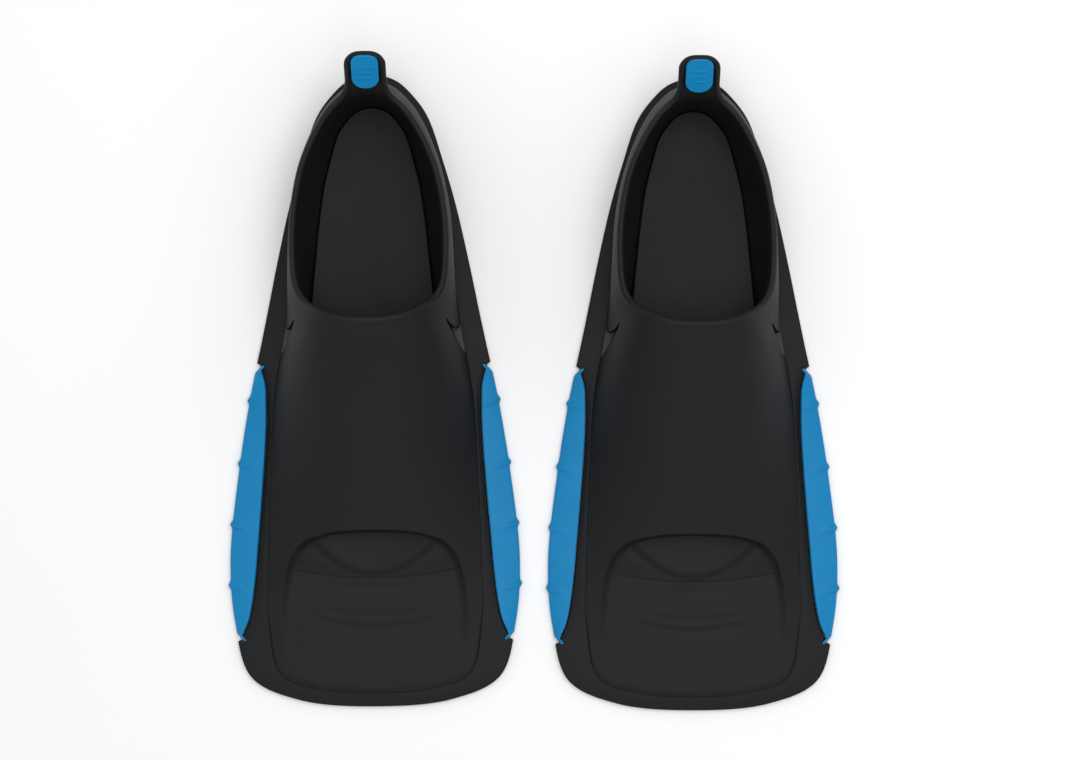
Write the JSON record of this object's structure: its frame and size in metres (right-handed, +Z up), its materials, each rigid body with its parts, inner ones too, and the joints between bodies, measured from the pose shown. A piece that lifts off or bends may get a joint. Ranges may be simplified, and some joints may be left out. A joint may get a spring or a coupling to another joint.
{
  "type": "pair of short swim fins",
  "caption": "Short-blade swim fins with full foot pockets, toe hoods, a window in each blade, soft side rails and heel pull tabs, lying sole down side by side.",
  "frame": {"origin": "on the floor under the middle of the pair, midway between the two fins", "axes": "+Z up from the soles, +Y from the blade tips towards the heels, +X from the left fin to the right fin"},
  "size_m": [0.3725, 0.3936, 0.0838],
  "materials": {
    "sole_rubber": "matte moulded",
    "pocket_rubber": "satin moulded",
    "rail_rubber": "satin moulded",
    "badge_rubber": "satin moulded"
  },
  "bodies": {
    "left_fin": {"left_sole_blade": "sole_rubber", "left_foot_pocket": "pocket_rubber", "left_fin_left_rail": "rail_rubber", "left_fin_right_rail": "rail_rubber", "left_heel_badge": "badge_rubber"},
    "right_fin": {"right_sole_blade": "sole_rubber", "right_foot_pocket": "pocket_rubber", "right_fin_left_rail": "rail_rubber", "right_fin_right_rail": "rail_rubber", "right_heel_badge": "badge_rubber"}
  },
  "joints": [
    {"name": "right_fin_lift", "type": "slide", "parent": "left_fin", "child": "right_fin", "axis": [0, 0, 1], "range_m": [0, 0.15]}
  ]
}
